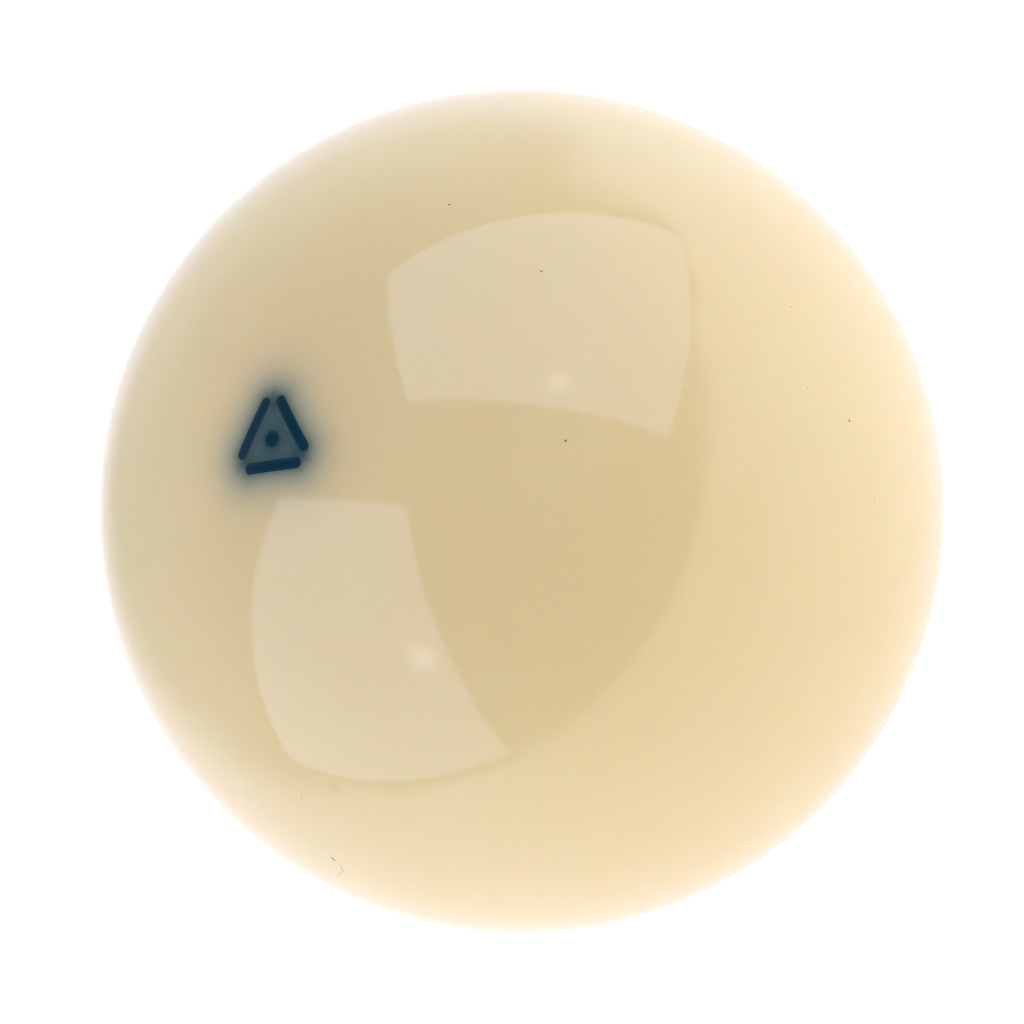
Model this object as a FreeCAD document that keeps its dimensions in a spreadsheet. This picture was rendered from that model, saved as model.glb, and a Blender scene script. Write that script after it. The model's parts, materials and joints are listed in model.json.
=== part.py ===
import FreeCAD, Part

import math
import os

from FreeCAD import Placement, Rotation, Vector
import Sketcher

# A pool cue ball: one solid casting of off-white phenolic resin, with a mark of blue resin plugs let
# into it and ground flush. Three bars make a triangle whose corners are open, around a round dot.
#
# Frame: millimetres, origin at the centre of the ball, +Z out through the middle of the mark,
# +Y towards the open corner at the top of the mark, +X to the right of a person reading the mark.

# ---------------------------------------------------------------- driving dimensions

DIMENSIONS = [
    # alias, value, meaning
    ("ball_diameter", 57.15, "pool ball diameter, mm"),
    ("bar_width", 0.74, "width of a bar, mm"),
    ("bar_offset", 1.75, "from the middle of the mark to a bar's centre line, mm"),
    ("corner_gap", 0.45, "open gap between the ends of two bars at a corner, mm"),
    ("dot_diameter", 1.10, "diameter of the round dot in the middle of the mark, mm"),
    ("inlay_depth", 4.00, "from the top of the ball down to the floor of the pockets, mm"),
    ("blank_overshoot", 1.00, "how far a plug's blank stands out of the ball before grinding, mm"),
]

# Anticlockwise from the bottom of the triangle, a third of a turn apart.
BAR_NAMES = ["base", "right", "left"]

# Half of a bar's straight run, from its middle to the centre of a round end. The centre lines of
# the three bars meet at the corners of an equilateral triangle, and each bar stops short of both
# of its corners by a bar's width and the gap.
HALF_RUN = "(Sizes.bar_offset * tan(60 deg) - Sizes.bar_width - Sizes.corner_gap)"

# Sketcher's numbers for the points of an edge, and for the sketch's origin.
START, END, CENTRE = 1, 2, 3
ORIGIN = -1

VOLUME_TOLERANCE = 1e-3  # cubic millimetres


def make_sheet(doc):
    """The spreadsheet that every size is bound to."""
    sheet = doc.addObject("Spreadsheet::Sheet", "Sizes")
    for row, (alias, value, meaning) in enumerate(DIMENSIONS, start=1):
        sheet.set(f"A{row}", meaning)
        sheet.set(f"B{row}", str(value))
        sheet.setAlias(f"B{row}", alias)
    doc.recompute()
    return sheet


def origin_plane(body, role):
    """The body's own origin plane of that role, such as XY_Plane."""
    return next(feature for feature in body.Origin.OriginFeatures if feature.Role == role)


# ---------------------------------------------------------------- the ball before the pockets

def make_sphere(doc):
    """The ground ball. Its poles lie on the Y axis and its seam on the +X side, clear of the mark."""
    sphere = doc.addObject("Part::Sphere", "ball_blank")
    sphere.setExpression("Radius", "Sizes.ball_diameter / 2")
    sphere.Placement = Placement(Vector(0, 0, 0), Rotation(Vector(1, 0, 0), 90))
    return sphere


# ---------------------------------------------------------------- the plugs before grinding

def slot_sketch(body, sheet, name):
    """A slot with round ends below the middle of the mark, on the floor plane of the pockets."""
    sketch = body.newObject("Sketcher::SketchObject", name)
    sketch.AttachmentSupport = [(origin_plane(body, "XY_Plane"), "")]
    sketch.MapMode = "FlatFace"
    sketch.setExpression("AttachmentOffset.Base.z", "Sizes.ball_diameter / 2 - Sizes.inlay_depth")

    half_width = sheet.bar_width / 2
    half_run = sheet.bar_offset  # a first guess, which the constraints below put right
    top_y = half_width - sheet.bar_offset
    bottom_y = -half_width - sheet.bar_offset

    def round_end(x, first_angle, last_angle):
        circle = Part.Circle(Vector(x, -sheet.bar_offset, 0), Vector(0, 0, 1), half_width)
        return Part.ArcOfCircle(circle, math.radians(first_angle), math.radians(last_angle))

    def straight(start_x, end_x, y):
        return Part.LineSegment(Vector(start_x, y, 0), Vector(end_x, y, 0))

    bottom = sketch.addGeometry(straight(-half_run, half_run, bottom_y), False)
    right = sketch.addGeometry(round_end(half_run, -90, 90), False)
    top = sketch.addGeometry(straight(half_run, -half_run, top_y), False)
    left = sketch.addGeometry(round_end(-half_run, 90, 270), False)

    outline = [bottom, right, top, left]
    for edge, following in zip(outline, outline[1:] + outline[:1]):
        sketch.addConstraint(Sketcher.Constraint("Tangent", edge, END, following, START))
    for line in (bottom, top):
        sketch.addConstraint(Sketcher.Constraint("Horizontal", line))

    def bind(expression, *constraint):
        number = sketch.addConstraint(Sketcher.Constraint(*constraint))
        sketch.setExpression(f"Constraints[{number}]", expression)

    bind("Sizes.bar_width / 2", "Radius", right, half_width)
    bind(HALF_RUN, "DistanceX", ORIGIN, START, right, CENTRE, half_run)
    bind(HALF_RUN, "DistanceX", left, CENTRE, ORIGIN, START, half_run)
    bind("Sizes.bar_offset", "DistanceY", right, CENTRE, ORIGIN, START, sheet.bar_offset)
    return sketch


def make_bar_blank(doc, sheet, index, name):
    """A bar as it is before grinding: a straight prism that stands out of the ball."""
    body = doc.addObject("PartDesign::Body", f"bar_blank_{name}")
    sketch = slot_sketch(body, sheet, f"slot_{name}")
    pad = body.newObject("PartDesign::Pad", f"pad_{name}")
    pad.Profile = sketch
    pad.setExpression("Length", "Sizes.inlay_depth + Sizes.blank_overshoot")
    sketch.Visibility = False
    body.Tip = pad
    body.Placement = Placement(Vector(0, 0, 0), Rotation(Vector(0, 0, 1), 0))
    body.setExpression("Placement.Rotation.Angle", f"{index} * 360 deg / {len(BAR_NAMES)}")
    return body


def make_dot_blank(doc):
    """The round plug in the middle of the mark as it is before grinding."""
    cylinder = doc.addObject("Part::Cylinder", "dot_blank")
    cylinder.setExpression("Radius", "Sizes.dot_diameter / 2")
    cylinder.setExpression("Height", "Sizes.inlay_depth + Sizes.blank_overshoot")
    cylinder.setExpression("Placement.Base.z", "Sizes.ball_diameter / 2 - Sizes.inlay_depth")
    return cylinder


# ---------------------------------------------------------------- the pieces

def make_inlay(doc, sphere, blank, name):
    """A plug ground flush with the ball."""
    inlay = doc.addObject("Part::Common", f"inlay_{name}")
    inlay.Base = blank
    inlay.Tool = sphere
    return inlay


def make_ball_body(doc, sphere, blanks):
    """The ball with a blind pocket under every plug."""
    all_blanks = doc.addObject("Part::Compound", "all_blanks")
    all_blanks.Links = blanks
    ball_body = doc.addObject("Part::Cut", "ball_body")
    ball_body.Base = sphere
    ball_body.Tool = all_blanks
    return ball_body


# ---------------------------------------------------------------- checks and files

def check_document(doc, pieces, sphere):
    """Stops the build if a feature failed or a pocket doesn't match its plug."""
    for thing in doc.Objects:
        if "Invalid" in thing.State or "Error" in thing.State:
            raise RuntimeError(f"{thing.Name} failed: {thing.State}")
        if thing.TypeId == "Sketcher::SketchObject" and not thing.FullyConstrained:
            raise RuntimeError(f"{thing.Name} isn't fully constrained")
    for piece in pieces:
        if piece.Shape.isNull() or not piece.Shape.isValid():
            raise RuntimeError(f"{piece.Label} has no valid shape")
        if len(piece.Shape.Solids) != 1:
            raise RuntimeError(f"{piece.Label} is {len(piece.Shape.Solids)} solids, not one")
    total = sum(piece.Shape.Volume for piece in pieces)
    if abs(total - sphere.Shape.Volume) > VOLUME_TOLERANCE:
        raise RuntimeError(f"the pieces fill {total} mm3, and the ball {sphere.Shape.Volume} mm3")


def main():
    doc = FreeCAD.newDocument("cue_ball")
    sheet = make_sheet(doc)
    sphere = make_sphere(doc)
    blanks = {f"bar_{name}": make_bar_blank(doc, sheet, index, name)
              for index, name in enumerate(BAR_NAMES)}
    blanks["dot"] = make_dot_blank(doc)
    inlays = [make_inlay(doc, sphere, blank, name) for name, blank in blanks.items()]
    pieces = [make_ball_body(doc, sphere, list(blanks.values()))] + inlays
    doc.recompute()
    check_document(doc, pieces, sphere)

    os.makedirs("parts", exist_ok=True)
    for piece in pieces:
        piece.Shape.exportStep(f"parts/{piece.Label}.step")
        print(f"{piece.Label}: {piece.Shape.Volume:.3f} mm3, {len(piece.Shape.Faces)} faces")


main()
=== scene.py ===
import json
import math

import bpy
from mathutils import Matrix, Vector
from mathutils.geometry import delaunay_2d_cdt


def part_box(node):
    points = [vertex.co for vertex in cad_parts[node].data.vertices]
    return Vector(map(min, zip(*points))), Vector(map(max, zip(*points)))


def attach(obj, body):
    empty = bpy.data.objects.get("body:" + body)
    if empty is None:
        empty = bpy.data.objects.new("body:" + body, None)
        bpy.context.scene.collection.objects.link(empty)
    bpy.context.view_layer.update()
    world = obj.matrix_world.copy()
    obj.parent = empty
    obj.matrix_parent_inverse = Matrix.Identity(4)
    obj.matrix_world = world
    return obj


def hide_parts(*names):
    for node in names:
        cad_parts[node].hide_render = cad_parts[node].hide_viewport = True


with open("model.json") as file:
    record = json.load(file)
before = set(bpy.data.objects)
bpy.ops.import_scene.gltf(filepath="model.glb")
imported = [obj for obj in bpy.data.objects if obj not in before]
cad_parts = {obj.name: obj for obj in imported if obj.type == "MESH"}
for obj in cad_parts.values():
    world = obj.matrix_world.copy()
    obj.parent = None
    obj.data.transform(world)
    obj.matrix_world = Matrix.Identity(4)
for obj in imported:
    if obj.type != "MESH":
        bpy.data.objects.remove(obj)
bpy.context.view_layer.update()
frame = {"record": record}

# A glossy cue ball of cast resin with an inlaid mark, on a white table between two softboxes.
# Everything is in metres, in the row frame: origin at the ball's centre, +Z out through the mark.

MM = 0.001


def add_object(name, data):
    """A new object in the scene that shows a mesh, a light or a camera."""
    thing = bpy.data.objects.new(name, data)
    bpy.context.scene.collection.objects.link(thing)
    return thing


def direction(azimuth, elevation=0.0):
    """The unit vector that points that way from the ball's centre, from angles in degrees."""
    azimuth = math.radians(azimuth)
    elevation = math.radians(elevation)
    return Vector((math.cos(elevation) * math.cos(azimuth),
                   math.cos(elevation) * math.sin(azimuth), math.sin(elevation)))


def facing_matrix(right, back):
    """The rotation of a light or a camera that looks away from back, with right to its right."""
    return Matrix((right, back.cross(right), back)).transposed().to_4x4()


# ---------------------------------------------------------------- sizes, read from the frame

def mount_position(name):
    """A mount's place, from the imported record."""
    return next(m["pos_m"] for m in frame["record"]["mounts"] if m["name"] == name)


BALL_RADIUS = -mount_position("table_contact")[2]

# The base bar lies along X, so its box gives every size that the three bars share.
BAR_LOW, BAR_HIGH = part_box("inlay_bar_base")
HALF_WIDTH = (BAR_HIGH.y - BAR_LOW.y) / 2
HALF_RUN = (BAR_HIGH.x - BAR_LOW.x) / 2 - HALF_WIDTH
BAR_OFFSET = -(BAR_HIGH.y + BAR_LOW.y) / 2
POCKET_FLOOR = BAR_LOW.z
DOT_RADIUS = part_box("inlay_dot")[1].x

# The bars go anticlockwise, a third of a turn apart, seen from outside the ball.
BARS = ["bar_base", "bar_right", "bar_left"]
TURNS = [2 * math.pi * index / len(BARS) for index in range(len(BARS))]
PLUGS = BARS + ["dot"]


# ---------------------------------------------------------------- meshes

CAP_RADIUS = 4.6 * MM        # the stretch around the mark that is meshed finely
CAP_SPACING = 0.17 * MM      # between the points inside that stretch
CAP_CLEARANCE = 0.55 * CAP_SPACING  # from those points to an outline
SAME_POINT = 1e-9            # points closer together than this count as one
AROUND = 240                 # points around every ring of the ball
RINGS = 120                  # rings from the edge of the cap to the opposite pole
END_STEPS = 20               # edges around each round end of a bar
RUN_STEPS = 24               # edges along each straight side of a bar
DOT_STEPS = 56               # edges around the dot


def on_ball(x, y):
    """The point of the ball's surface above (x, y)."""
    return Vector((x, y, math.sqrt(BALL_RADIUS ** 2 - x * x - y * y)))


def bar_outline(turn):
    """A bar's outline seen from above, anticlockwise: two straight sides and two round ends."""
    points = []
    for side in (1, -1):
        start_angle = -math.pi / 2 if side == 1 else math.pi / 2
        for step in range(RUN_STEPS):
            x = side * HALF_RUN * (2 * step / RUN_STEPS - 1)
            points.append(Vector((x, -BAR_OFFSET - side * HALF_WIDTH)))
        for step in range(END_STEPS):
            angle = start_angle + math.pi * step / END_STEPS
            x = side * HALF_RUN + HALF_WIDTH * math.cos(angle)
            points.append(Vector((x, -BAR_OFFSET + HALF_WIDTH * math.sin(angle))))
    rotation = Matrix.Rotation(turn, 2)
    return [rotation @ point for point in points]


def circle(radius, count):
    """Points around the origin, anticlockwise."""
    angles = [2 * math.pi * i / count for i in range(count)]
    return [Vector((radius * math.cos(angle), radius * math.sin(angle))) for angle in angles]


def distances_to_plugs(point):
    """How far a point of the XY plane is from each plug's outline, below zero inside the plug."""
    distances = []
    for turn in TURNS:
        local = Matrix.Rotation(-turn, 2) @ point
        beyond = max(abs(local.x) - HALF_RUN, 0.0)
        distances.append(math.hypot(beyond, local.y + BAR_OFFSET) - HALF_WIDTH)
    distances.append(point.length - DOT_RADIUS)
    return distances


def cap_triangles():
    """Triangles that cover the cap, with every plug's outline as edges. Returns the points, the
    triangles of the ball, and for each plug its triangles and the numbers of its outline."""
    points = []
    edges = []

    def add_loop(loop):
        numbers = list(range(len(points), len(points) + len(loop)))
        points.extend(loop)
        edges.extend(zip(numbers, numbers[1:] + numbers[:1]))
        return numbers

    # The edge of the cap comes first, so that make_ball knows its points as 0 to AROUND - 1.
    add_loop(circle(CAP_RADIUS, AROUND))
    outlines = [add_loop(bar_outline(turn)) for turn in TURNS]
    outlines.append(add_loop(circle(DOT_RADIUS, DOT_STEPS)))

    row_height = CAP_SPACING * math.sqrt(3) / 2
    rows = int(CAP_RADIUS / row_height)
    columns = int(CAP_RADIUS / CAP_SPACING) + 1
    for row in range(-rows, rows + 1):
        for column in range(-columns, columns + 1):
            shift = 0.5 * (row % 2)
            point = Vector(((column + shift) * CAP_SPACING, row * row_height))
            if point.length > CAP_RADIUS - CAP_CLEARANCE:
                continue
            if min(abs(distance) for distance in distances_to_plugs(point)) > CAP_CLEARANCE:
                points.append(point)

    found = delaunay_2d_cdt(points, edges, [], 0, SAME_POINT, False)
    flat_points, triangles = found[0], found[2]
    ball_triangles = []
    plug_triangles = [[] for _ in PLUGS]
    for triangle in triangles:
        middle = sum((flat_points[i] for i in triangle), Vector((0, 0))) / 3
        inside = [k for k, distance in enumerate(distances_to_plugs(middle)) if distance < 0]
        owner = plug_triangles[inside[0]] if inside else ball_triangles
        owner.append(tuple(triangle))
    return flat_points, ball_triangles, list(zip(plug_triangles, outlines))


class PieceMesh:
    """Collects the vertices and faces of one piece. Faces on the ball's surface get its exact
    normals, so that reflections stay round, and every other face stays flat."""

    def __init__(self, flat_points):
        self.flat_points = flat_points
        self.lifted = {}
        self.sunk = {}
        self.vertices = []
        self.faces = []
        self.on_surface = []

    def vertex(self, place):
        """Adds a vertex and returns its number."""
        self.vertices.append(place)
        return len(self.vertices) - 1

    def lift(self, i):
        """The vertex on the ball above flat point i, made when it is first asked for."""
        if i not in self.lifted:
            self.lifted[i] = self.vertex(on_ball(*self.flat_points[i]))
        return self.lifted[i]

    def sink(self, i):
        """The vertex on the pockets' floor below flat point i, made when it is first asked for."""
        if i not in self.sunk:
            self.sunk[i] = self.vertex(Vector((*self.flat_points[i], POCKET_FLOOR)))
        return self.sunk[i]

    def cover(self, triangles):
        """Triangles on the ball's surface, above flat ones."""
        for triangle in triangles:
            self.face(tuple(self.lift(i) for i in triangle), on_surface=True)

    def face(self, corners, on_surface=False):
        """Adds a face between vertices, anticlockwise as seen from outside."""
        self.faces.append(corners)
        self.on_surface.append(on_surface)

    def build(self, name):
        """The finished object."""
        mesh = bpy.data.meshes.new(name)
        mesh.from_pydata(self.vertices, [], self.faces)
        mesh.shade_smooth()
        normals = []
        for polygon, on_surface in zip(mesh.polygons, self.on_surface):
            for index in polygon.vertices:
                place = mesh.vertices[index].co
                normals.append(place.normalized() if on_surface else polygon.normal.copy())
        mesh.normals_split_custom_set(normals)
        return add_object(name, mesh)


def add_pocket(mesh, triangles, outline, outward):
    """The walls and the floor under an outline. outward is true for a plug, whose walls face out
    of the outline, and false for a pocket in the ball, whose walls face into it."""
    for i, following in zip(outline, outline[1:] + outline[:1]):
        wall = (mesh.lift(i), mesh.sink(i), mesh.sink(following), mesh.lift(following))
        mesh.face(wall if outward else wall[::-1])
    for triangle in triangles:
        floor = tuple(mesh.sink(i) for i in triangle)
        mesh.face(floor[::-1] if outward else floor)


def make_ball(flat_points, triangles, plugs):
    """The ball: the cap around the mark, the rings below it and a pocket under every plug."""
    mesh = PieceMesh(flat_points)
    mesh.cover(triangles)
    upper = [mesh.lift(i) for i in range(AROUND)]
    cap_angle = math.asin(CAP_RADIUS / BALL_RADIUS)
    for ring in range(1, RINGS):
        polar = cap_angle + (math.pi - cap_angle) * ring / RINGS
        level = BALL_RADIUS * math.cos(polar)
        lower = [mesh.vertex(Vector((*point, level)))
                 for point in circle(BALL_RADIUS * math.sin(polar), AROUND)]
        for i in range(AROUND):
            following = (i + 1) % AROUND
            mesh.face((upper[i], lower[i], lower[following], upper[following]), on_surface=True)
        upper = lower
    pole = mesh.vertex(Vector((0, 0, -BALL_RADIUS)))
    for i in range(AROUND):
        mesh.face((upper[i], pole, upper[(i + 1) % AROUND]), on_surface=True)
    for plug_triangles, outline in plugs:
        add_pocket(mesh, plug_triangles, outline, outward=False)
    return mesh.build("cue_ball_casting")


def make_plug(name, flat_points, triangles, outline):
    """One plug of the mark, whose top is flush with the ball."""
    mesh = PieceMesh(flat_points)
    mesh.cover(triangles)
    add_pocket(mesh, triangles, outline, outward=True)
    return mesh.build(f"mark_{name}")


# ---------------------------------------------------------------- node helpers

class Nodes:
    """A thin wrapper that makes node trees read like sums."""

    def __init__(self, tree):
        self.tree = tree
        tree.nodes.clear()

    def add(self, kind, **settings):
        """A new node with those settings."""
        node = self.tree.nodes.new(kind)
        for name, value in settings.items():
            setattr(node, name, value)
        return node

    def link(self, value, socket):
        """Feeds a socket from another node's output, or sets it to a plain value."""
        if isinstance(value, bpy.types.NodeSocket):
            self.tree.links.new(value, socket)
        else:
            socket.default_value = value

    def math(self, operation, *values, clamp=False):
        node = self.add("ShaderNodeMath", operation=operation, use_clamp=clamp)
        for value, socket in zip(values, node.inputs):
            self.link(value, socket)
        return node.outputs[0]

    def vector(self, operation, *values, **named):
        node = self.add("ShaderNodeVectorMath", operation=operation)
        for value, socket in zip(values, node.inputs):
            self.link(value, socket)
        for name, value in named.items():
            self.link(value, node.inputs[name])
        gives_number = operation in ("LENGTH", "DOT_PRODUCT", "DISTANCE")
        return node.outputs["Value" if gives_number else "Vector"]

    def ramp(self, value, low, high, to_low=0.0, to_high=1.0):
        """value from low to high, mapped smoothly to to_low to to_high."""
        node = self.add("ShaderNodeMapRange", interpolation_type="SMOOTHSTEP")
        for number, name in ((value, "Value"), (low, "From Min"), (high, "From Max"),
                             (to_low, "To Min"), (to_high, "To Max")):
            self.link(number, node.inputs[name])
        return node.outputs[0]

    def mix(self, factor, first, second, blend_type="MIX"):
        node = self.add("ShaderNodeMix", data_type="RGBA", blend_type=blend_type)
        self.link(factor, node.inputs[0])
        self.link(first, node.inputs[6])
        self.link(second, node.inputs[7])
        return node.outputs[2]

    def noise(self, vector, scale, detail=2.0, roughness=0.5):
        """Smooth noise of about 0.3 to 0.7."""
        node = self.add("ShaderNodeTexNoise")
        self.link(vector, node.inputs["Vector"])
        node.inputs["Scale"].default_value = scale
        node.inputs["Detail"].default_value = detail
        node.inputs["Roughness"].default_value = roughness
        return node.outputs[0]

    def split(self, vector):
        """The x, y and z of a vector."""
        node = self.add("ShaderNodeSeparateXYZ")
        self.link(vector, node.inputs[0])
        return node.outputs

    def finish(self, shader, output="ShaderNodeOutputMaterial"):
        """Ends the tree with a shader as what it shows."""
        self.link(shader.outputs[0], self.add(output).inputs["Surface"])

    def millimetres(self):
        """Object coordinates in millimetres."""
        place = self.add("ShaderNodeTexCoord").outputs["Object"]
        return self.vector("SCALE", place, Scale=1 / MM)


def new_material(name):
    """A material, and the nodes to fill it with."""
    material = bpy.data.materials.new(name)
    material.use_nodes = True
    return material, Nodes(material.node_tree)


# ---------------------------------------------------------------- the ball's resin

RESIN_LIGHT = (0.955, 0.758, 0.410, 1)
RESIN_DARK = (0.940, 0.738, 0.392, 1)
CLOUD_SCALE = 0.06                   # of the noise that mixes the two, per millimetre
CLOUD_RANGE = (0.35, 0.65)           # of that noise, over which dark turns into light
SCATTER_RADIUS = (1.0, 0.62, 0.35)   # how far each colour travels in the resin, against the others
SCATTER_SCALE = 1.2 * MM

# Painted shade beside the blue plugs, which take light from the translucent resin. The resin's
# scattering makes part of that shade in the render, and the rest is painted into the base colour.
# Each colour loses
# HALO_DEPTH of its light at a plug's edge, and the loss dies away over HALO_REACH, in millimetres.
# Inside the triangle the bars shut out the light from every side, and the painted colour keeps only
# INNER_SHARE of what is left. That sets in over INNER_RANGE, in millimetres inwards from the bars'
# centre lines.
HALO_DEPTH = (0.70, 0.61, 0.55)
HALO_REACH = (1.13, 1.00, 0.72)
INNER_SHARE = (0.38, 0.57, 0.74, 1)
INNER_RANGE = (-0.3, 0.7)

# The polish: patches that are duller or glossier, and a waviness too faint to see but in reflections.
RESIN_IOR = 1.66
SCUFF_SCALE = 1.4                    # of the patches' noise, per millimetre
SCUFF_RANGE = (0.3, 0.75)            # of that noise, over which the roughness rises
ROUGHNESS_RANGE = (0.055, 0.085)
WAVE_SCALE = 0.35
WAVE_HEIGHT = 0.006 * MM

# Flaws of the surface: where each is, as azimuth and elevation in degrees, and its radius in mm.
# A flaw has its full strength out to a share of its radius, and fades away over the rest.
SPECKS = [(59, 50.5, 0.085), (33, 48, 0.08), (-3.5, 50, 0.09), (4.5, 7, 0.10), (20, 14, 0.055),
          (8, 14.5, 0.05), (-5, 1.5, 0.05), (-103.5, 39, 0.06), (150, 20, 0.08), (-160, -12, 0.09),
          (112, -25, 0.06), (-60, -30, 0.08)]
SPECK_COLOUR = (0.16, 0.12, 0.08, 1)
SPECK_CORE = 0.6
DULL_SPOT = (-95, 41.5, 0.75)
DULL_COLOUR = (0.945, 0.945, 0.925, 1)
SOFT_CORE = 0.3                      # of the dull spot, and of the scratch's half width
# A fine curved scratch: azimuth and elevation of the points along it, and for each stretch between
# them its half width in mm and the share of the light that it takes.
SCRATCH = [(-104.8, 26.4), (-104.65, 25.8), (-104.4, 24.2), (-104.8, 23.0), (-107.5, 20.3)]
SCRATCH_STRETCHES = [(0.13, 0.80), (0.08, 0.24), (0.09, 0.30), (0.09, 0.18)]


def surface_point(azimuth, elevation):
    """A point of the ball in millimetres, from angles in degrees."""
    return direction(azimuth, elevation) * (BALL_RADIUS / MM)


def distance_to_plug(nodes, x, y, z, radius):
    """The distance in millimetres to a plug's wall or floor, below zero inside. x and y are from the
    line in the plug's middle, and radius is half the plug's width in metres."""
    under = nodes.math("MAXIMUM", nodes.math("SUBTRACT", POCKET_FLOOR / MM, z), 0.0)
    offset = nodes.add("ShaderNodeCombineXYZ")
    for value, socket in zip((x, y, under), offset.inputs):
        nodes.link(value, socket)
    length = nodes.vector("LENGTH", offset.outputs[0])
    return nodes.math("SUBTRACT", length, radius / MM)


def plug_distances(nodes, place):
    """For each plug, the distance in millimetres from place to its outline, and for each bar, how
    far place is on the inner side of its centre line."""
    distances = []
    across_bars = []
    for turn in TURNS:
        turned = nodes.add("ShaderNodeVectorRotate", rotation_type="Z_AXIS")
        nodes.link(place, turned.inputs["Vector"])
        turned.inputs["Angle"].default_value = -turn
        x, y, z = nodes.split(turned.outputs[0])
        x = nodes.math("SUBTRACT", nodes.math("ABSOLUTE", x), HALF_RUN / MM)
        x = nodes.math("MAXIMUM", x, 0.0)
        y = nodes.math("ADD", y, BAR_OFFSET / MM)
        across_bars.append(y)
        distances.append(distance_to_plug(nodes, x, y, z, HALF_WIDTH))
    distances.append(distance_to_plug(nodes, *nodes.split(place), DOT_RADIUS))
    return distances, across_bars


def smallest(nodes, values):
    """The least of several values."""
    least = values[0]
    for value in values[1:]:
        least = nodes.math("MINIMUM", least, value)
    return least


def painted_plug_shade(nodes, place):
    """Painted shade: what share of each colour the resin keeps near the plugs, which take its light.
    """
    distances, across_bars = plug_distances(nodes, place)
    combine = nodes.add("ShaderNodeCombineColor")
    for channel, (depth, reach) in enumerate(zip(HALO_DEPTH, HALO_REACH)):
        kept = 1.0
        for distance in distances:
            outside = nodes.math("MAXIMUM", distance, 0.0)
            fade = nodes.math("EXPONENT", nodes.math("MULTIPLY", outside, -1 / reach))
            share = nodes.math("SUBTRACT", 1.0, nodes.math("MULTIPLY", fade, depth))
            kept = nodes.math("MULTIPLY", kept, share)
        nodes.link(kept, combine.inputs[channel])
    # Deeper painted shade inside the triangle of bars, where they shut out the light from every side.
    inner = nodes.ramp(smallest(nodes, across_bars), *INNER_RANGE)
    return nodes.mix(inner, combine.outputs[0],
                     nodes.mix(1.0, combine.outputs[0], INNER_SHARE, "MULTIPLY"))


def add_flaws(nodes, place, colour):
    """Specks, one dull spot and one fine scratch, painted over the colour."""
    for azimuth, elevation, radius in SPECKS:
        away = nodes.vector("DISTANCE", place, surface_point(azimuth, elevation))
        colour = nodes.mix(nodes.ramp(away, radius, SPECK_CORE * radius), colour, SPECK_COLOUR)

    azimuth, elevation, radius = DULL_SPOT
    away = nodes.vector("DISTANCE", place, surface_point(azimuth, elevation))
    dulled = nodes.mix(1.0, colour, DULL_COLOUR, "MULTIPLY")
    colour = nodes.mix(nodes.ramp(away, radius, SOFT_CORE * radius), colour, dulled)

    corners = [surface_point(*angles) for angles in SCRATCH]
    for start, end, (width, depth) in zip(corners, corners[1:], SCRATCH_STRETCHES):
        run = end - start
        from_start = nodes.vector("SUBTRACT", place, start)
        along = nodes.vector("DOT_PRODUCT", from_start, run / run.length_squared)
        along = nodes.math("ADD", along, 0.0, clamp=True)  # not past either end
        nearest = nodes.vector("SCALE", run, Scale=along)
        away = nodes.vector("DISTANCE", from_start, nearest)
        taken = nodes.ramp(away, width, SOFT_CORE * width, 0.0, depth)
        colour = nodes.mix(taken, colour, (0, 0, 0, 1))
    return colour


def polish(nodes, place, shader):
    """The gloss that the ball and the plugs share, because they are ground and buffed together:
    slightly uneven, with a surface that is flat to within a few micrometres."""
    scuffs = nodes.noise(place, SCUFF_SCALE, detail=5.0, roughness=0.6)
    roughness = nodes.ramp(scuffs, *SCUFF_RANGE, *ROUGHNESS_RANGE)
    nodes.link(roughness, shader.inputs["Roughness"])
    bump = nodes.add("ShaderNodeBump")
    bump.inputs["Distance"].default_value = WAVE_HEIGHT
    nodes.link(nodes.noise(place, WAVE_SCALE, detail=1.0), bump.inputs["Height"])
    nodes.link(bump.outputs[0], shader.inputs["Normal"])
    shader.inputs["IOR"].default_value = RESIN_IOR


def ball_resin():
    """Off-white and translucent, with painted shade beside the plugs."""
    material, nodes = new_material("ball_resin")
    place = nodes.millimetres()
    clouds = nodes.noise(place, CLOUD_SCALE, detail=4.0, roughness=0.55)
    colour = nodes.mix(nodes.ramp(clouds, *CLOUD_RANGE), RESIN_DARK, RESIN_LIGHT)
    # The painted shade beside the plugs, multiplied into the colour.
    colour = nodes.mix(1.0, colour, painted_plug_shade(nodes, place), "MULTIPLY")
    colour = add_flaws(nodes, place, colour)

    shader = nodes.add("ShaderNodeBsdfPrincipled")
    nodes.link(colour, shader.inputs["Base Color"])
    shader.inputs["Subsurface Weight"].default_value = 1.0
    shader.inputs["Subsurface Radius"].default_value = SCATTER_RADIUS
    shader.inputs["Subsurface Scale"].default_value = SCATTER_SCALE
    polish(nodes, place, shader)
    nodes.finish(shader)
    return material


# ---------------------------------------------------------------- the plugs' resin

PLUG_MIDDLE = (0.0025, 0.027, 0.053, 1)
PLUG_EDGE = (0.0040, 0.049, 0.085, 1)
EDGE_RANGE = (-0.22, 0.06)           # from the outline, over which the middle turns into the edge
GRAIN_SCALE = 2.2                    # of the noise that makes that uneven, per millimetre
GRAIN_REACH = 0.12                   # millimetres that the noise moves it by


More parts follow.
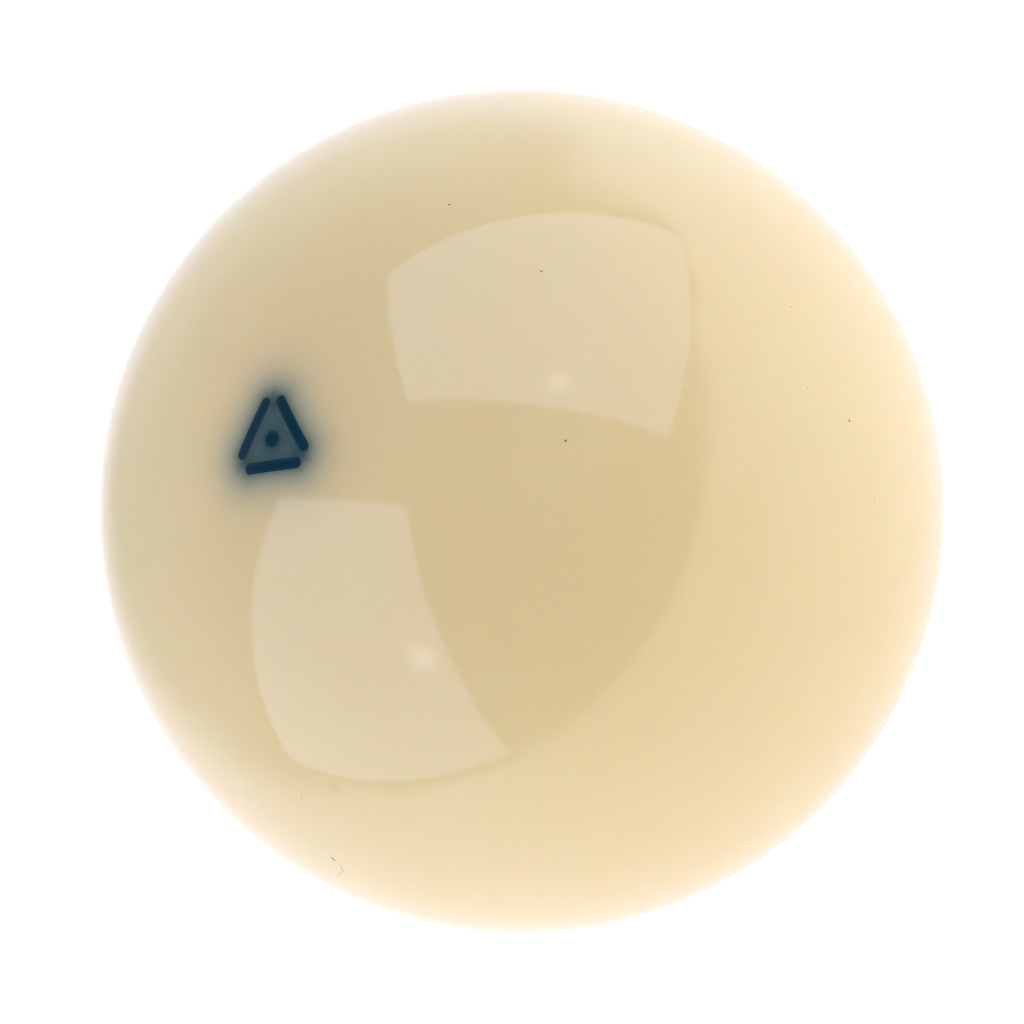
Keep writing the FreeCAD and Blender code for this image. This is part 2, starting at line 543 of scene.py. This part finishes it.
def plug_resin():
    """Dark blue, slightly lighter along the edges."""
    material, nodes = new_material("plug_resin")
    place = nodes.millimetres()
    nearest = smallest(nodes, plug_distances(nodes, place)[0])
    grain = nodes.noise(place, GRAIN_SCALE, detail=3.0)
    uneven = nodes.math("ADD", nearest, nodes.math("MULTIPLY", grain, GRAIN_REACH))
    colour = nodes.mix(nodes.ramp(uneven, *EDGE_RANGE), PLUG_MIDDLE, PLUG_EDGE)

    shader = nodes.add("ShaderNodeBsdfPrincipled")
    nodes.link(colour, shader.inputs["Base Color"])
    polish(nodes, place, shader)
    nodes.finish(shader)
    return material


# ---------------------------------------------------------------- the stage

TABLE_GLOW = (1.20, 1.16, 1.22)      # the table is lit through from below
TABLE_PAINT = (0.08, 0.08, 0.08)
BALL_SHADE = 0.25                    # share of the table's light that the ball takes at its foot
# Far out on one side the white is dimmer and warmer, as the gloss mirrors it.
FAR_GLOW = (1.09, 1.00, 0.87)
FAR_AZIMUTH = -36                    # degrees
FAR_FACING = (0.32, 1.0)             # how squarely a point lies to that side, over which it dims
FAR_REACH = 0.31                     # how far out it is all the way dimmer

SURROUND_RADIUS = 1.2                # how far out the white goes, where it doesn't end before
SURROUND_STEPS = 240                 # columns all the way round
SURROUND_ROWS = 40                   # rows from the ball's foot to the end of the table
CARD_ROWS = 10                       # rows from there to the top of the cards
FIRST_ROW = -85                      # elevation of the first row, just outside the ball's foot
TABLE_END = math.degrees(math.atan2(-BALL_RADIUS, SURROUND_RADIUS))
ZENITH = 90

# The top edge of everything white, seen from the ball's middle: azimuth, elevation, and the angle
# over which the white fades in below that edge, in degrees. Below TABLE_END it is an edge of the
# table, and above it a white card that stands behind the table.
SKYLINE = [(-180, -7, 14), (-150, 2.5, 13.5), (-120, 10, 11.5), (-100, 10, 4), (-80, 14.5, 11.5),
           (-55, 13, 8), (-30, 10.7, 5.7), (0, 9.4, 6.7), (18, 10.9, 14), (35, 6.4, 8.5),
           (48, -4, 2), (62, -5.5, 5), (78, 3.5, 14), (94, -6, 14), (120, -3.6, 11.5),
           (150, -6.8, 7.2), (180, -7, 14)]

# What the gloss mirrors of the room: dim, with pale patches low down around it.
ROOM_LIGHT = (0.06, 0.10, 0.08)
HAZE_LIGHT = (0.72, 0.66, 0.57)
WALL_LIGHT = (0.43, 0.41, 0.42)
FAR_LIGHT = (0.33, 0.18, 0.06)
# Each patch: its colour, its azimuth in degrees, and two ranges over which it fades in: how squarely
# a direction faces that azimuth, and its height.
ROOM_PATCHES = [(HAZE_LIGHT, 160, (-0.1, 0.9), (0.85, 0.2)),
                (WALL_LIGHT, 130, (0.70, 0.97), (0.32, -0.15)),
                (FAR_LIGHT, 65, (0.75, 0.97), (0.30, 0.0))]
FILL_LIGHT = (0.40, 0.36, 0.355)     # the soft light from all round that matt surfaces get


def material_of_table():
    """White that glows, dimmer at the ball's foot and far out, and thins out at the skyline. The
    camera sees it as solid, even white."""
    material, nodes = new_material("white_table")
    place = nodes.add("ShaderNodeNewGeometry").outputs["Position"]
    distance = nodes.vector("LENGTH", place)
    seen = nodes.add("ShaderNodeLightPath").outputs["Is Camera Ray"]
    # The ball hides a share of the sky from the table that falls with the cube of the distance.
    from_ball = nodes.math("DIVIDE", BALL_RADIUS, distance)
    shade = nodes.math("MULTIPLY", nodes.math("POWER", from_ball, 3.0), BALL_SHADE)
    strength = nodes.math("MAXIMUM", nodes.math("SUBTRACT", 1.0, shade), seen)

    outward = nodes.vector("NORMALIZE", place)
    facing = nodes.vector("DOT_PRODUCT", outward, direction(FAR_AZIMUTH))
    far = nodes.math("MULTIPLY", nodes.ramp(facing, *FAR_FACING),
                     nodes.ramp(distance, 0.0, FAR_REACH))
    far = nodes.math("MULTIPLY", far, nodes.math("SUBTRACT", 1.0, seen))
    glow = nodes.mix(far, (*TABLE_GLOW, 1), (*FAR_GLOW, 1))

    inward = nodes.add("ShaderNodeAttribute", attribute_name="inward").outputs["Fac"]
    solid = nodes.math("MAXIMUM", nodes.ramp(inward, 0.0, 1.0), seen)
    shader = nodes.add("ShaderNodeBsdfPrincipled")
    shader.inputs["Base Color"].default_value = (*TABLE_PAINT, 1)
    shader.inputs["Roughness"].default_value = 1.0
    shader.inputs["Specular IOR Level"].default_value = 0.0
    nodes.link(glow, shader.inputs["Emission Color"])
    nodes.link(strength, shader.inputs["Emission Strength"])
    nodes.link(solid, shader.inputs["Alpha"])
    nodes.finish(shader)
    return material


def skyline(azimuth):
    """The skyline's elevation and softness at an azimuth, in degrees, eased between its points."""
    for (low, *start), (high, *end) in zip(SKYLINE, SKYLINE[1:]):
        if low <= azimuth <= high:
            share = (azimuth - low) / (high - low)
            eased = share * share * (3 - 2 * share)
            return [first + (last - first) * eased for first, last in zip(start, end)]
    raise ValueError(azimuth)


def surround_point(azimuth, elevation):
    """Where a line of sight from the ball's middle meets the table, or beyond it the cards."""
    rise = math.tan(math.radians(elevation))
    reach = -BALL_RADIUS / rise if elevation < TABLE_END else SURROUND_RADIUS
    angle = math.radians(azimuth)
    return Vector((reach * math.cos(angle), reach * math.sin(angle), reach * rise))


def make_band(name, bottom, limit, rows, material, filled=False):
    """The part of the surround from one elevation up to the skyline or to a limit below it. A filled
    band also has a face inside its first row."""
    points = []
    inward = []
    heights = []
    for column in range(SURROUND_STEPS):
        azimuth = 360 * column / SURROUND_STEPS - 180
        edge, softness = skyline(azimuth)
        top = max(bottom, min(edge, limit))
        heights.append(top - bottom)
        for row in range(rows + 1):
            elevation = bottom + (top - bottom) * row / rows
            points.append(surround_point(azimuth, elevation))
            inward.append((edge - elevation) / softness)
    faces = []
    for column in range(SURROUND_STEPS):
        following = (column + 1) % SURROUND_STEPS
        if max(heights[column], heights[following]) > 0:
            first, second = column * (rows + 1), following * (rows + 1)
            faces += [(first + row, second + row, second + row + 1, first + row + 1)
                      for row in range(rows)]
    if filled:
        faces.append(tuple(range(0, len(points), rows + 1)))

    mesh = bpy.data.meshes.new(name)
    mesh.from_pydata(points, [], faces)
    mesh.attributes.new("inward", "FLOAT", "POINT").data.foreach_set("value", inward)
    mesh.materials.append(material)
    band = add_object(name, mesh)
    return band


def make_surround():
    """The table out to its edge, and the white cards behind it."""
    material = material_of_table()
    make_band("white_table", FIRST_ROW, TABLE_END, SURROUND_ROWS, material, filled=True)
    cards = make_band("white_cards", TABLE_END, ZENITH, CARD_ROWS, material)
    cards.visible_camera = False
    cards.visible_shadow = False


# Each softbox: where its middle is, the direction that it faces away from, its long side, its width
# and length, and the lamp inside: where it is from the middle, and how far and how brightly it glows.
KEY_BOX = {"centre": (0.181, 0.421, 0.367), "back": (0.739, 0.568, 0.362),
           "long_side": (0.558, -0.215, -0.801), "size": (0.60, 0.86),
           "lamp": (0.234, 0.145), "lamp_reach": 0.050, "lamp_glow": 1.6}
SIDE_BOX = {"centre": (-0.242, -0.304, 0.479), "back": (-0.202, -0.845, 0.495),
            "long_side": (0.006, 0.505, 0.863), "size": (0.60, 0.90),
            "lamp": (0.231, -0.131), "lamp_reach": 0.062, "lamp_glow": 1.8}
SOFTBOX_LIGHT = (0.83, 1.00, 1.43)   # brightness, with white as 1

# The lamp inside shows through the cloth as a small bright spot, warmer than the box's own light.
LAMP_TINT = (1.0, 0.75, 0.64)


def make_softbox(name, box):
    """A rectangular area light, with a lamp that shows through it."""
    width, height = box["size"]
    data = bpy.data.lights.new(name, "AREA")
    data.shape = "RECTANGLE"
    data.size = width
    data.size_y = height
    data.color = SOFTBOX_LIGHT
    data.energy = math.pi * width * height
    light = add_object(name, data)
    back = Vector(box["back"]).normalized()
    across = Vector(box["long_side"]).cross(back).normalized()
    light.matrix_world = Matrix.Translation(box["centre"]) @ facing_matrix(across, back)
    light.visible_camera = False

    data.use_nodes = True
    nodes = Nodes(data.node_tree)
    place = nodes.add("ShaderNodeNewGeometry").outputs["Position"]
    lamp = light.matrix_world @ Vector((*box["lamp"], 0))
    from_lamp = nodes.vector("LENGTH", nodes.vector("SUBTRACT", place, tuple(lamp)))
    glow = nodes.ramp(from_lamp, box["lamp_reach"], 0.0, 0.0, box["lamp_glow"])
    emission = nodes.add("ShaderNodeEmission")
    colour = nodes.vector("ADD", (1, 1, 1), nodes.vector("SCALE", LAMP_TINT, Scale=glow))
    nodes.link(colour, emission.inputs["Color"])
    nodes.finish(emission, "ShaderNodeOutputLight")


def make_world():
    """White for the camera, the room for the gloss, and an even fill light for all else."""
    world = bpy.data.worlds.new("studio")
    world.use_nodes = True
    nodes = Nodes(world.node_tree)
    towards = nodes.add("ShaderNodeTexCoord").outputs["Generated"]
    height = nodes.split(towards)[2]

    room = ROOM_LIGHT
    for light, azimuth, facing_range, height_range in ROOM_PATCHES:
        facing = nodes.vector("DOT_PRODUCT", towards, direction(azimuth))
        share = nodes.math("MULTIPLY", nodes.ramp(facing, *facing_range),
                           nodes.ramp(height, *height_range))
        room = nodes.vector("ADD", room, nodes.vector("SCALE", light, Scale=share))
    ray = nodes.add("ShaderNodeLightPath")
    colour = nodes.mix(ray.outputs["Is Glossy Ray"], (*FILL_LIGHT, 1), room)
    colour = nodes.mix(ray.outputs["Is Camera Ray"], colour, (1, 1, 1, 1))
    background = nodes.add("ShaderNodeBackground")
    nodes.link(colour, background.inputs["Color"])
    nodes.finish(background, "ShaderNodeOutputWorld")
    bpy.context.scene.world = world


# ---------------------------------------------------------------- the camera

CAMERA_ELEVATION = 54.09     # degrees
CAMERA_AZIMUTH = -19.56
CAMERA_DISTANCE = 0.5
CAMERA_SHIFT = (-0.0093, -0.0012)
CLIP_RANGE = (0.01, 20.0)
SENSOR_WIDTH = 36.0          # millimetres
BALL_SHARE = 0.826           # of the picture's width that the ball fills


def make_camera():
    """Looks down on the ball, with the mark upright and towards the picture's upper left."""
    data = bpy.data.cameras.new("camera")
    data.sensor_width = SENSOR_WIDTH
    half_angle = math.asin(BALL_RADIUS / CAMERA_DISTANCE)
    data.lens = BALL_SHARE * SENSOR_WIDTH / 2 / math.tan(half_angle)
    data.shift_x, data.shift_y = CAMERA_SHIFT
    data.clip_start, data.clip_end = CLIP_RANGE
    camera = add_object("camera", data)
    back = direction(CAMERA_AZIMUTH, CAMERA_ELEVATION)
    right = Vector((0, 1, 0)).cross(back).normalized()
    camera.matrix_world = Matrix.Translation(back * CAMERA_DISTANCE) @ facing_matrix(right, back)
    bpy.context.scene.camera = camera


# ---------------------------------------------------------------- everything together

make_camera()
make_world()
make_surround()
make_softbox("key_softbox", KEY_BOX)
make_softbox("side_softbox", SIDE_BOX)

cap_points, ball_triangles, plugs = cap_triangles()
ball = make_ball(cap_points, ball_triangles, plugs)
ball.data.materials.append(ball_resin())
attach(ball, "root")
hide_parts("ball_body")

plug_material = plug_resin()
for name, (triangles, outline) in zip(PLUGS, plugs):
    plug = make_plug(name, cap_points, triangles, outline)
    plug.data.materials.append(plug_material)
    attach(plug, "root")
    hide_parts(f"inlay_{name}")

bpy.context.scene.view_settings.view_transform = "Standard"
